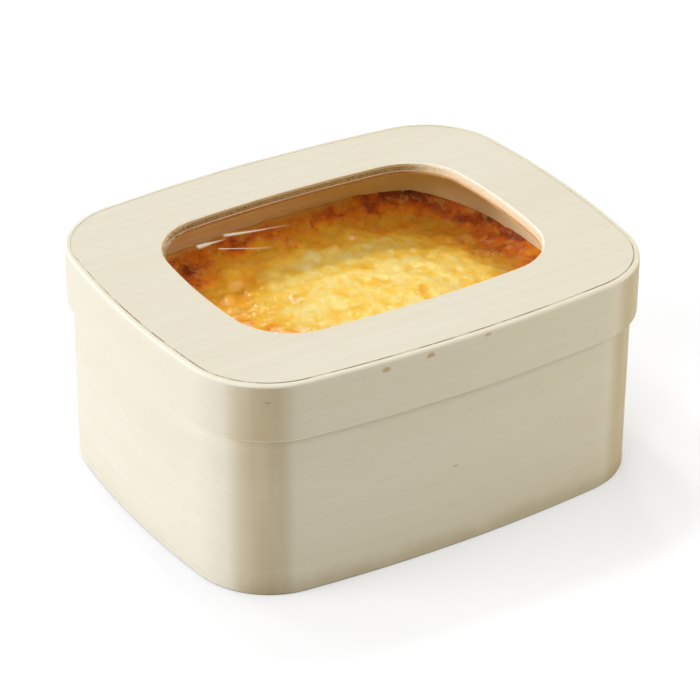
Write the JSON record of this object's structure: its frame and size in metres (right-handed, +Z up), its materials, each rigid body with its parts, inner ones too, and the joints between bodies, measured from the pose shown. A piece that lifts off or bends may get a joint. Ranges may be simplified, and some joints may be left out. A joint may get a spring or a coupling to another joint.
{
  "type": "cheese box",
  "caption": "Bentwood food box with bowed sides, a lift-off plywood lid with a film window, and baked cheese inside.",
  "frame": {"origin": "middle of the underside, on the table", "axes": "+X along the long sides, to the right seen from the front; -Y is the front long side; +Z up through the lid"},
  "size_m": [0.16, 0.129, 0.074],
  "materials": {
    "bent_veneer": "pale bare poplar, fine grain along the band",
    "face_veneer": "pale bare poplar veneer, fine grain",
    "core_veneer": "darker cross-grain veneer, rough cut edge",
    "clear_film": "clear glossy polyester film",
    "clear_tape": "thin clear adhesive tape",
    "cheese": "baked crust, golden to burnt brown, glossy and blistered"
  },
  "bodies": {
    "box": {"body_band": "bent_veneer", "base_face_ply": "face_veneer", "base_core_ply": "core_veneer", "base_back_ply": "face_veneer", "baked_cheese": "cheese"},
    "lid": {"lid_band": "bent_veneer", "lid_face_ply": "face_veneer", "lid_core_ply": "core_veneer", "lid_back_ply": "face_veneer", "window_film": "clear_film", "film_tape": "clear_tape"}
  },
  "joints": [
    {"name": "lid_lift", "type": "slide", "parent": "box", "child": "lid", "axis": [0, 0, 1], "range_m": [0, 0.08]}
  ]
}
